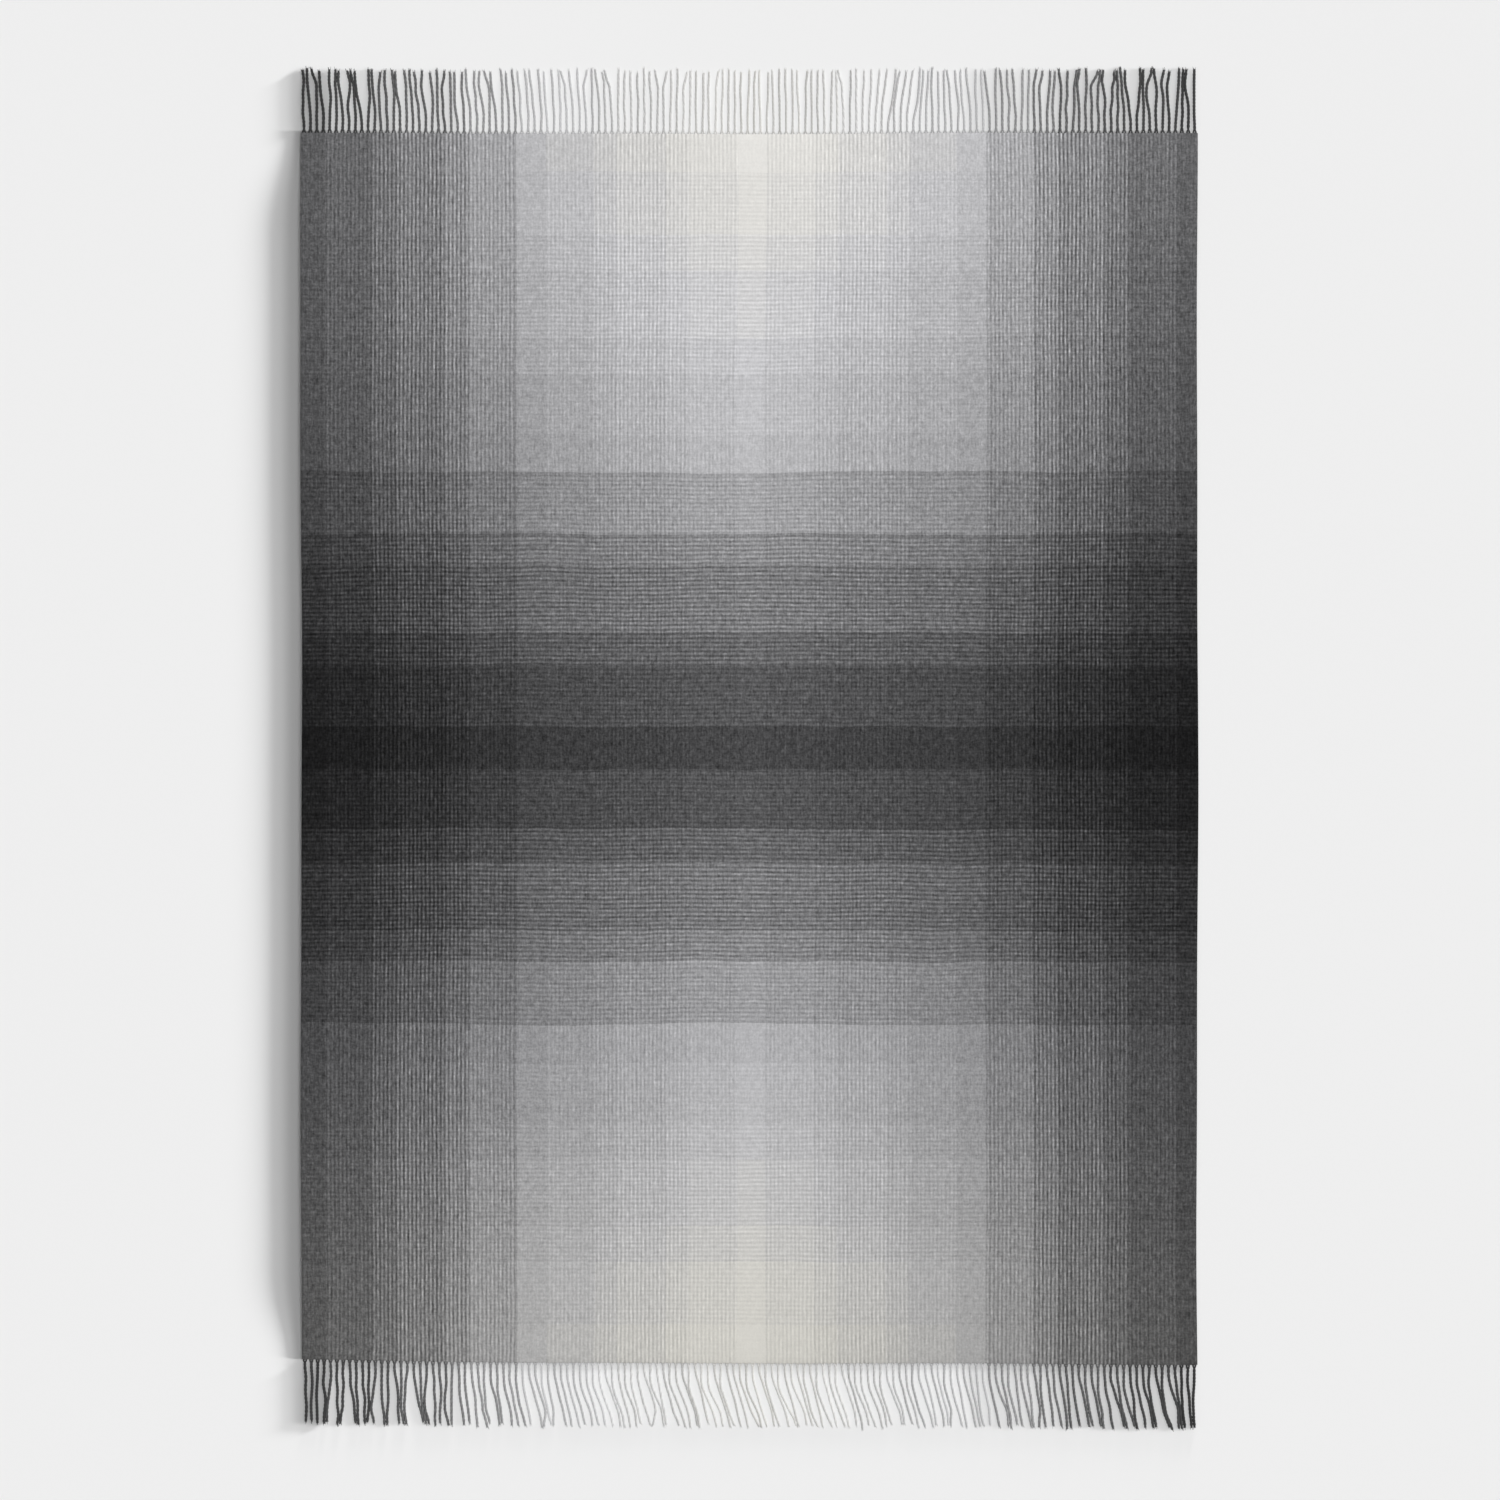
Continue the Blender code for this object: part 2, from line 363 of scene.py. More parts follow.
def sideways_run(side, t, draw, settings):
    """Each tassel's x along its length t, from 0 at the root to 1 at the tip.

    Each tassel leaves the hem straight, bends over to its lean and eases back at its tip: its slope is a
    smooth step up at a seeded station times a seeded ease at the end, and x is the running sum of the
    slope, with two small waves and a smooth step towards its clump's middle. Four tassels in ten have a
    hooked tip too.
    """
    lean, gather, meeting = (values[:, None] for values in lean_and_gather(side, ROOTS, draw, settings))
    dark = darkness(ROOTS)[:, None]
    bend = draw.uniform(0.0, 0.28, TASSELS)[:, None]
    ease = draw.uniform(-0.9, 0.5, TASSELS)[:, None]
    slope = smooth_step((t - bend) / 0.30) * (1.0 + ease * smooth_step((t - 0.65) / 0.35))
    swing = np.cumsum(slope, axis=1) - slope[:, :1]
    swing /= swing[:, -1:]
    straight = 0.08
    x = ROOTS[:, None] + lean * swing + gather * smooth_step((t - straight) / (meeting - straight))
    for size, slowest, fastest in ((1.0 * MM, 0.5, 1.1), (0.45 * MM, 1.4, 2.6)):
        wave = draw.uniform(0.1, 1.0, TASSELS)[:, None] * size * (0.7 + 1.1 * dark)
        phase = draw.uniform(0.0, TURN, TASSELS)[:, None]
        rate = draw.uniform(slowest, fastest, TASSELS)[:, None]
        x = x + wave * np.sin(0.5 * math.pi * smooth_step(t / 0.5)) * np.sin(TURN * rate * t + phase)
    hooked = draw.uniform(size=TASSELS) < 0.4
    hook = np.where(hooked, draw.normal(0.0, 2.4 * MM, TASSELS), 0.0)[:, None] * (1.0 + 0.6 * dark)
    return x + hook * hooked_part(t)


def hooked_part(t):
    """The last stretch of a tassel, where its tip hooks: a smooth step from 0 up to 1 at the tip."""
    hook_start = 0.72
    return smooth_step((t - hook_start) / (1.0 - hook_start))


def keep_apart(x, t, width):
    """Pushes neighbours that come too near apart, a share of the shortfall at a time, in their order.

    Their middles need a tassel's width between them, less at the root and at the waist of a dark clump.
    """
    passes, share = 60, 0.45
    dark = darkness(ROOTS)[:, None]
    waist = smooth_step((t - 0.35) / 0.3) * (1.0 - 0.8 * hooked_part(t))
    gap_share = 0.55 + 0.45 * smooth_step(t / 0.12) - 0.32 * dark * waist
    room = (width * gap_share)[1:]
    held = smooth_step(t / 0.10)
    for _ in range(passes):
        short = np.clip(room - np.diff(x, axis=0), 0.0, None) * share * held
        x[:-1] -= short
        x[1:] += short
    return x


def tassel_paths(side, settings):
    """Centre lines of all the tassels at one end, as an array of tassel, station and x, y, z.

    y goes straight out from just inside the hem. z comes down from the cloth's mid height to the tassel's
    own radius, by a smooth step, or goes up to it sooner where the cloth lies lower than that.
    """
    draw = np.random.default_rng(5 if side == "FAR" else 8)
    sign = SIDE[side]
    t = np.linspace(0.0, 1.0, settings.stations)[None, :]
    width = tassel_widths(ROOTS, settings)[:, None]
    x = keep_apart(sideways_run(side, t, draw, settings), t, width)
    hem_x, hem_y, hem_z = lay(ROOTS, np.full(TASSELS, sign * CLOTH_LENGTH / 2))
    x = x + (hem_x - ROOTS)[:, None]
    inset, root_rise = 1.2 * MM, 1.3 * MM
    reach = FRINGE_LENGTH + inset + draw.normal(0.0, 1.5 * MM, TASSELS)
    y = (hem_y - sign * inset)[:, None] + sign * reach[:, None] * t
    radius = width / 2
    root_height = (hem_z + root_rise)[:, None]
    fall = np.where(root_height > radius, 0.25, 0.08)
    z = radius + (root_height - radius) * (1.0 - smooth_step(t / fall))
    return np.stack([x, y, z], axis=-1), width, draw


def twist_plies(paths, width, draw, settings):
    """The two yarns of every tassel: each is a helix round the centre line, half a turn from the other.

    A yarn's centre is the centre line plus rho (cos a across, sin a upwards), a = 2 pi s / pitch plus a
    seeded start. At the root the two yarns open into a V on the hem, and at the tip the yarn tapers.
    """
    count, stations, _ = paths.shape
    t = np.linspace(0.0, 1.0, stations)[None, :]
    pitch = draw.uniform(0.85, 1.2, count)[:, None] * settings.twist_pitch
    start = draw.uniform(0.0, TURN, count)[:, None]
    angle = TURN * FRINGE_LENGTH * t / pitch + start
    swell = (0.75 + 0.30 * smooth_step(t / 0.08)) * (1.0 - 0.35 * smooth_step((t - 0.95) / 0.05))
    yarn_radius = width * 0.34 * swell
    rho = width * 0.14
    wrap = smooth_step(t / 0.08)
    plies = []
    for half_turn in (0.0, math.pi):
        open_v = (1.0 - wrap) * settings.root_spread * math.cos(half_turn)
        across = rho * wrap * np.cos(angle + half_turn) + open_v
        up = rho * wrap * np.sin(angle + half_turn)
        plies.append(paths + np.stack([across, np.zeros_like(across), up], axis=-1))
    return np.stack(plies, axis=1), np.repeat(yarn_radius[:, None], 2, axis=1)


def fray_tips(paths, width, draw, settings):
    """Loose fibres at every tip: each leaves the tassel near its end and fans out on a short curve."""
    count, stations, _ = paths.shape
    fibres = settings.fibres
    s = np.linspace(0.0, 1.0, 5)
    base = paths[:, round(0.93 * (stations - 1))]
    heading = paths[:, -1] - paths[:, round(0.85 * (stations - 1))]
    heading /= np.linalg.norm(heading, axis=-1, keepdims=True)
    spread = draw.uniform(-1.0, 1.0, (count, fibres, 2))
    length = draw.uniform(6.0, 10.5, (count, fibres, 1)) * MM
    radius = (width / 2)[:, :, None]
    points = base[:, None, None, :] + heading[:, None, None, :] * (length * s)[..., None]
    points[..., 0] += spread[..., :1] * radius * (0.45 + 0.65 * s ** 1.5)
    points[..., 2] += spread[..., 1:] * radius * 0.45 - 0.3 * MM * s
    points[..., 2] = np.maximum(points[..., 2], 0.45 * MM)
    radii = 0.42 * MM * (1.0 - 0.5 * s) * np.ones((count, fibres, 1))
    return points, radii


def linear(shade):
    """The light a shade gives back, beside cream, for a shade as the eye reads it."""
    return np.asarray(shade, float) ** EYE_POWER


def yarn_colours(draw, settings):
    """The two yarn colours of each tassel, from the shade of the warp band that it grows out of.

    The cloth's shade is warp and weft together, and a tassel is warp alone, so a dark warp shows darker in
    a tassel. In a mixed band one yarn is lighter and the other darker, by a third of the band's line
    strength.
    """
    place = ROOTS - PATTERN_SHIFT
    band_shade = band_values(place, WARP_BANDS, CLOTH_WIDTH / 2)
    shade = np.interp(band_shade, (0.425, 0.590, 0.737, 0.825, 1.0), settings.yarn_shades)
    strength = band_values(place, [(width, line, 0.0) for width, _, line in WARP_BANDS], CLOTH_WIDTH / 2)
    own = draw.normal(1.0, 0.04, TASSELS)
    warm = np.clip((band_shade - 0.86) / 0.14, 0.0, 1.0)[:, None]
    tint = warm * np.array(settings.cream) + (1.0 - warm) * np.array(settings.grey)
    pair = np.stack([1.0 + strength / 3.0, 1.0 - strength / 3.0], axis=1)
    return tint[:, None] * linear((shade * own)[:, None] * pair)[..., None]


def group(name):
    """The collection that a lamp lights or is stopped by, made when its name is first asked for."""
    return bpy.data.collections.get(name) or bpy.data.collections.new(name)


# ---- Finishes --------------------------------------------------------------------------------------------

class Finish:
    """A material and the short calls that add its nodes."""

    def __init__(self, name):
        self.material = bpy.data.materials.new(name)
        self.material.use_nodes = True
        self.nodes = self.material.node_tree.nodes
        self.links = self.material.node_tree.links
        self.shader = self.nodes["Principled BSDF"]

    def feed(self, socket, value):
        """Links a socket, or sets its number or colour."""
        if isinstance(value, bpy.types.NodeSocket):
            self.links.new(value, socket)
        else:
            socket.default_value = value

    def place_in(self, uv_map):
        """The two sockets of a place in the piece's own UV map."""
        uv = self.nodes.new("ShaderNodeUVMap")
        uv.uv_map = uv_map
        split = self.nodes.new("ShaderNodeSeparateXYZ")
        self.links.new(uv.outputs[0], split.inputs[0])
        return split.outputs[0], split.outputs[1]

    def math(self, operation, first, second=0.0, third=0.0, clamp=False):
        """One step of arithmetic on sockets or numbers."""
        node = self.nodes.new("ShaderNodeMath")
        node.operation = operation
        node.use_clamp = clamp
        for socket, value in zip(node.inputs, (first, second, third)):
            self.feed(socket, value)
        return node.outputs[0]

    def rise(self, value, start, end):
        """A straight climb from 0 where the value is at its start to 1 at its end, level beyond both."""
        return self.math("MULTIPLY_ADD", value, 1.0 / (end - start), -start / (end - start), clamp=True)

    def point(self, x=0.0, y=0.0, z=0.0):
        """Three sockets or numbers as one place."""
        node = self.nodes.new("ShaderNodeCombineXYZ")
        for socket, value in zip(node.inputs, (x, y, z)):
            self.feed(socket, value)
        return node.outputs[0]

    def noise(self, where, scale, detail=2.0):
        """Noise about zero, from -0.5 to 0.5, at a place."""
        node = self.nodes.new("ShaderNodeTexNoise")
        self.feed(node.inputs["Vector"], where)
        node.inputs["Scale"].default_value = scale
        node.inputs["Detail"].default_value = detail
        return self.math("SUBTRACT", node.outputs["Fac"], 0.5)

    def ramp(self, value, stops):
        """A ramp of flat steps. Each stop is its start, its shade and its alpha."""
        node = self.nodes.new("ShaderNodeValToRGB")
        node.color_ramp.interpolation = "CONSTANT"
        elements = node.color_ramp.elements
        while len(elements) < len(stops):
            elements.new(1.0)
        for element, (start, shade, alpha) in zip(elements, stops):
            element.position = start
            element.color = (shade, shade, shade, alpha)
        self.feed(node.inputs["Fac"], value)
        return node.outputs["Color"], node.outputs["Alpha"]

    def scaled(self, colour, factor):
        """A colour times a number."""
        node = self.nodes.new("ShaderNodeVectorMath")
        node.operation = "SCALE"
        self.feed(node.inputs[0], colour)
        self.feed(node.inputs["Scale"], factor)
        return node.outputs[0]

    def bump(self, height, strength, distance):
        """Raises the surface by a height, which is in shares of the distance."""
        node = self.nodes.new("ShaderNodeBump")
        node.inputs["Strength"].default_value = strength
        node.inputs["Distance"].default_value = distance
        self.feed(node.inputs["Height"], height)
        self.links.new(node.outputs[0], self.shader.inputs["Normal"])

    def cloth_gloss(self, roughness, sheen):
        """A dry textile surface: rough, hardly any mirror gloss, and a soft sheen."""
        self.shader.inputs["Roughness"].default_value = roughness
        self.shader.inputs["Specular IOR Level"].default_value = 0.05
        self.shader.inputs["Sheen Weight"].default_value = sheen
        self.shader.inputs["Sheen Roughness"].default_value = 0.45


def band_steps(bands):
    """Ramp stops for the bands: where each starts as a share of the half, its shade and line strength."""
    total = sum(width for width, _, _ in bands)
    starts = np.cumsum([0] + [width for width, _, _ in bands[:-1]]) / total
    return [(float(start), shade, line) for start, (_, shade, line) in zip(starts, bands)]


def thread_places(finish, across, along):
    """Where a point lies in the pattern: the threads wander over a long way and waver over a short one."""
    waver, quick = 1.6 * MM, 60.0
    u = finish.math("SUBTRACT", across, PATTERN_SHIFT)
    u = finish.math("MULTIPLY_ADD", finish.noise(finish.point(across, along), 7.0), 3 * MM, u)
    u = finish.math("MULTIPLY_ADD", finish.noise(finish.point(along, across, 3.0), quick), waver, u)
    v = finish.math("MULTIPLY_ADD", finish.noise(finish.point(across, along, 5.0), 6.0), 9 * MM, along)
    v = finish.math("MULTIPLY_ADD", finish.noise(finish.point(across, along, 7.0), quick), waver, v)
    return u, v


def banded(finish, place, half, bands, line_pitch, fleck, run):
    """The bands along one way of the cloth: their shade, how bright their lines are, and the bare wave.

    A line is a sine over the line pitch times the band's line strength, made uneven by each line's own
    share, which drifts along its run, and by the fleck.
    """
    share = finish.math("DIVIDE", finish.math("ABSOLUTE", place), half)
    shade, strength = finish.ramp(share, band_steps(bands))
    wave = finish.math("SINE", finish.math("MULTIPLY", place, TURN / line_pitch))
    number = finish.math("MULTIPLY", place, 1.0 / line_pitch)
    own_share = finish.math("ADD", finish.noise(finish.point(number, run, 11.0), 1.0, 0.0), 0.90)
    uneven = finish.math("MULTIPLY_ADD", fleck, 3.0, own_share)
    line = finish.math("MULTIPLY", finish.math("MULTIPLY", wave, strength), uneven)
    return shade, finish.math("ADD", line, 1.0), wave


def stretched_noise(finish, u, v, along_u, along_v, seed, detail=2.0):
    """Noise about zero with so many lumps to the metre along u and along v."""
    where = finish.point(finish.math("MULTIPLY", u, along_u), finish.math("MULTIPLY", v, along_v), seed)
    return finish.noise(where, 1.0, detail)


def fibre_grain(finish, u, v):
    """Fine uneven fibre: streaks that run with the warp, shorter ones with the weft, and felted fuzz."""
    streak = stretched_noise(finish, u, v, 460.0, 95.0, 0.0, detail=3.0)
    shot = stretched_noise(finish, u, v, 130.0, 460.0, 4.0, detail=3.0)
    felt = finish.noise(finish.point(u, v, 6.0), 300.0)
    return finish.math("MULTIPLY_ADD", felt, 0.95, finish.math("MULTIPLY_ADD", shot, 0.5, streak))


def plain_weave(finish, u, v, settings):
    """The over and under of plain weave, -1 to 1: a sine over two threads times a sine over two picks."""
    thread = finish.math("SINE", finish.math("MULTIPLY", u, math.pi / settings.thread_pitch))
    pick = finish.math("SINE", finish.math("MULTIPLY", v, math.pi / settings.pick_pitch))
    return finish.math("MULTIPLY", thread, pick)


def mottled(finish, u, v, shade, grain, over):
    """Uneven dye and fibre about one: grain and blotches, most in the dark, faint clouds and the weave."""
    uneven = finish.math("MULTIPLY_ADD", shade, -0.95, 1.0)
    blotch = finish.noise(finish.point(finish.math("MULTIPLY", u, 1.3), v, 8.0), 85.0, 1.5)
    cloud = finish.noise(finish.point(u, v, 2.0), 3.5, 3.0)
    mottle = finish.math("MULTIPLY_ADD", finish.math("MULTIPLY", blotch, uneven), 0.72, 1.0)
    mottle = finish.math("MULTIPLY_ADD", grain, uneven, mottle)
    mottle = finish.math("MULTIPLY_ADD", cloud, 0.05, mottle)
    return finish.math("MULTIPLY_ADD", over, 0.04, mottle)


def painted_end_shade(finish, across, along):
    """Painted shade from end to end, about one: lighter to the far end, darker over the near half.

    Along the length it is end share times (0.037 + 0.045 of the share across). The near half loses another
    0.012, and 0.05 more at the sides.
    """
    end_share = finish.math("DIVIDE", along, CLOTH_LENGTH / 2)
    side_share = finish.math("MULTIPLY_ADD", across, 0.045 / (CLOTH_WIDTH / 2), 0.037)
    # painted shade: the cloth is made lighter towards the far end and darker towards the near end, most at
    # the sides
    painted_falloff = finish.math("MULTIPLY_ADD", end_share, side_share, 1.0)
    near_half = finish.math("MULTIPLY", end_share, -1.0 / 0.35, clamp=True)
    far_out = finish.math("DIVIDE", finish.math("ABSOLUTE", across), CLOTH_WIDTH / 2)
    painted_near_shade = finish.math("MULTIPLY_ADD", far_out, -0.05, -0.012)
    return finish.math("MULTIPLY_ADD", near_half, painted_near_shade, painted_falloff)


def woven_finish(settings):
    """Woven yarn: warp shade times weft shade, paired-thread lines, uneven fibre, plain weave and a painted
    end-to-end shade.
    """
    finish = Finish("woven_cotton")
    across, along = finish.place_in("Weave")
    u, v = thread_places(finish, across, along)
    warp_fleck = stretched_noise(finish, u, v, 150.0, 60.0, 0.0)
    weft_fleck = stretched_noise(finish, u, v, 55.0, 150.0, 9.0)
    runs = 9.0
    warp, warp_lines, warp_wave = banded(finish, u, CLOTH_WIDTH / 2, WARP_BANDS, settings.warp_line_pitch,
                                         warp_fleck, finish.math("MULTIPLY", v, runs))
    weft, weft_lines, weft_wave = banded(finish, v, CLOTH_LENGTH / 2, WEFT_BANDS, settings.weft_line_pitch,
                                         weft_fleck, finish.math("MULTIPLY", u, runs))
    shade = finish.math("MULTIPLY", warp, weft)
    grain = fibre_grain(finish, u, v)
    over = plain_weave(finish, u, v, settings)

    eye = finish.math("MULTIPLY", finish.math("MULTIPLY", shade, mottled(finish, u, v, shade, grain, over)),
                      finish.math("MULTIPLY", warp_lines, weft_lines))
    # the yarn's light is multiplied by a painted shade that darkens the near end and lightens the far end
    light = finish.math("POWER", finish.math("MULTIPLY", eye, painted_end_shade(finish, across, along)), EYE_POWER)
    creamy = finish.rise(finish.math("MULTIPLY", shade, weft), 0.82, 0.95)
    near_end = finish.rise(along, -0.50 * CLOTH_LENGTH / 2, -0.95 * CLOTH_LENGTH / 2)
    hue = finish.nodes.new("ShaderNodeMix")
    hue.data_type = "RGBA"
    hue.clamp_factor = False
    finish.feed(hue.inputs[0], finish.math("MULTIPLY_ADD", near_end, 0.5, creamy))
    hue.inputs[6].default_value = (*settings.grey, 1.0)
    hue.inputs[7].default_value = (*settings.cream, 1.0)
    finish.feed(finish.shader.inputs["Base Color"], finish.scaled(hue.outputs[2], light))

    ribs = finish.math("MULTIPLY_ADD", finish.math("ADD", warp_wave, weft_wave), 0.15,
                       finish.math("MULTIPLY", grain, 0.5))
    finish.bump(finish.math("MULTIPLY_ADD", over, 0.45, ribs), 0.5, 0.4 * MM)
    finish.cloth_gloss(0.92, settings.sheen)
    return finish.material


def yarn_finish(settings):
    """Twisted yarn: each strand's own colour from its attribute, with a fine ply spiral and uneven dye."""
    finish = Finish("twisted_yarn")
    colour = finish.nodes.new("ShaderNodeAttribute")
    colour.attribute_name = "yarn_colour"
    turn, run = finish.place_in("Strand")
    place = finish.nodes.new("ShaderNodeTexCoord").outputs["Object"]
    ply_pitch = 2.2 * MM
    spiral = finish.math("MULTIPLY_ADD", run, TURN / ply_pitch, finish.math("MULTIPLY", turn, 2.0 * TURN))
    spiral = finish.math("SINE", spiral)
    dye = finish.noise(place, 160.0, 3.0)
    hair = finish.noise(place, 1400.0, 2.0)
    light = finish.math("MULTIPLY_ADD", spiral, 0.04, 1.0)
    light = finish.math("MULTIPLY_ADD", dye, 0.22, light)
    light = finish.math("MULTIPLY_ADD", hair, 0.16, light)
    finish.feed(finish.shader.inputs["Base Color"], finish.scaled(colour.outputs["Color"], light))
    finish.bump(finish.math("MULTIPLY_ADD", hair, 0.8, spiral), 0.6, 0.15 * MM)
    finish.cloth_gloss(0.9, settings.sheen)
    return finish.material


def floor_finish(settings):
    """Matt painted floor: one pale grey with a very faint mottle."""
    finish = Finish("pale_floor")
    place = finish.nodes.new("ShaderNodeTexCoord").outputs["Object"]
    mottle = finish.math("MULTIPLY_ADD", finish.noise(place, 1.3, 2.0), 0.006, 1.0)
    finish.feed(finish.shader.inputs["Base Color"], finish.scaled(tuple(settings.floor_colour), mottle))
    finish.shader.inputs["Roughness"].default_value = 1.0
    finish.shader.inputs["Specular IOR Level"].default_value = 0.0
    return finish.material


# ---- Settings --------------------------------------------------------------------------------------------

class ThrowClothSettings(bpy.types.PropertyGroup):
    thickness: bpy.props.FloatProperty(
        name="Thickness", description="How thick the woven cloth is", default=2.4 * MM, min=0.5 * MM,
        max=3 * MM, unit="LENGTH", precision=4)
    row_spacing: bpy.props.FloatProperty(
        name="Row Spacing", description="Distance between the mesh rows along the length", default=12.0 * MM,
        min=4 * MM, unit="LENGTH", precision=4)
    thread_pitch: bpy.props.FloatProperty(
        name="Thread Pitch", description="Distance from one warp thread to the next", default=0.983 * MM,
        min=0.2 * MM, unit="LENGTH", precision=5)
    pick_pitch: bpy.props.FloatProperty(
        name="Pick Pitch", description="Distance from one weft thread to the next", default=1.067 * MM,
        min=0.2 * MM, unit="LENGTH", precision=5)
    warp_line_pitch: bpy.props.FloatProperty(
        name="Warp Line Pitch", description="Distance between the lines that run along the length",
        default=5.9 * MM, min=1 * MM, unit="LENGTH", precision=4)
    weft_line_pitch: bpy.props.FloatProperty(
        name="Weft Line Pitch", description="Distance between the lines that run across the width",
        default=6.4 * MM, min=1 * MM, unit="LENGTH", precision=4)
    cream: bpy.props.FloatVectorProperty(
        name="Cream", description="Colour of the lightest woven part", default=(0.744, 0.732, 0.704), size=3,
        subtype="COLOR", min=0.0, max=1.0)
    grey: bpy.props.FloatVectorProperty(
        name="Grey", description="Hue that the silver and charcoal parts lean to",
        default=(0.728, 0.726, 0.747), size=3, subtype="COLOR", min=0.0, max=1.0)
    sheen: bpy.props.FloatProperty(
        name="Sheen", description="Soft fibre sheen of the cloth", default=0.03, min=0.0, max=1.0,
        subtype="FACTOR")


class ThrowFringeSettings(bpy.types.PropertyGroup):
    tassel_width: bpy.props.FloatProperty(
        name="Tassel Width", description="Width of a twisted tassel", default=4.0 * MM, min=1 * MM,
        unit="LENGTH", precision=4)
    twist_pitch: bpy.props.FloatProperty(
        name="Twist Pitch", description="Length of one full turn of the twist", default=11.0 * MM, min=3 * MM,
        unit="LENGTH", precision=4)
    root_spread: bpy.props.FloatProperty(
        name="Root Spread", description="How far each yarn starts from the tassel's middle on the hem",
        default=2.1 * MM, min=0.0, unit="LENGTH", precision=4)
    far_clumping: bpy.props.FloatProperty(
        name="Far Clumping", description="How much neighbouring tips draw together at the far end",
        default=0.65, min=0.0, max=1.0, subtype="FACTOR")
    near_clumping: bpy.props.FloatProperty(
        name="Near Clumping", description="How much neighbouring tips draw together at the near end",
        default=0.85, min=0.0, max=1.0, subtype="FACTOR")
    fibres: bpy.props.IntProperty(
        name="Fibres", description="Loose fibres at each tip", default=7, min=3, max=20)
    stations: bpy.props.IntProperty(
        name="Stations", description="Rings along each yarn", default=58, min=12, max=120)
    cream: bpy.props.FloatVectorProperty(
        name="Cream", description="Colour of the lightest yarn", default=(0.81, 0.80, 0.77), size=3,
        subtype="COLOR", min=0.0, max=1.0)
    grey: bpy.props.FloatVectorProperty(
        name="Grey", description="Hue that the silver and charcoal yarns lean to", default=(0.79, 0.79, 0.80),
        size=3, subtype="COLOR", min=0.0, max=1.0)
    yarn_shades: bpy.props.FloatVectorProperty(
        name="Yarn Shades", description="Shade of a tassel from the charcoal band to the cream band",
        default=(0.28, 0.46, 0.68, 0.84, 0.93), size=5, min=0.0, max=1.2)
    sheen: bpy.props.FloatProperty(
        name="Sheen", description="Soft fibre sheen of the yarn", default=0.05, min=0.0, max=1.0,
        subtype="FACTOR")


class ThrowStageSettings(bpy.types.PropertyGroup):
    floor_size: bpy.props.FloatProperty(
        name="Floor Size", description="Side of the square floor", default=60.0, min=3.0, unit="LENGTH")
    floor_colour: bpy.props.FloatVectorProperty(
        name="Floor Colour", description="Colour of the pale floor", default=(0.86, 0.86, 0.86), size=3,
        subtype="COLOR", min=0.0, max=1.0)
    room: bpy.props.FloatProperty(
        name="Room Light", description="Share of even light from all round", default=0.22, min=0.0)
    key: bpy.props.FloatProperty(
        name="Key Light", description="Share of soft light on the throw from high on the far right",
        default=0.63, min=0.0)
    front_fill: bpy.props.FloatProperty(
        name="Front Fill", description="Share of soft light on the throw from the near side", default=0.14,
        min=0.0)
    low_side: bpy.props.FloatProperty(
        name="Low Side Light", description="Share of very low light on the floor from the right",
        default=0.44, min=0.0)
    side_fill: bpy.props.FloatProperty(
        name="Side Fill", description="Share of low soft light on the floor from the right", default=0.20,
        min=0.0)
    far_fill: bpy.props.FloatProperty(
        name="Far Fill", description="Share of very low light on the floor from the far end", default=0.05,
        min=0.0)
    high_fill: bpy.props.FloatProperty(
        name="High Fill", description="Share of high soft light on the floor", default=0.09, min=0.0)
    camera_height: bpy.props.FloatProperty(
        name="Camera Height", description="Height of the camera above the floor", default=5.14, min=1.0,
        unit="LENGTH")


# ---- Operators -------------------------------------------------------------------------------------------

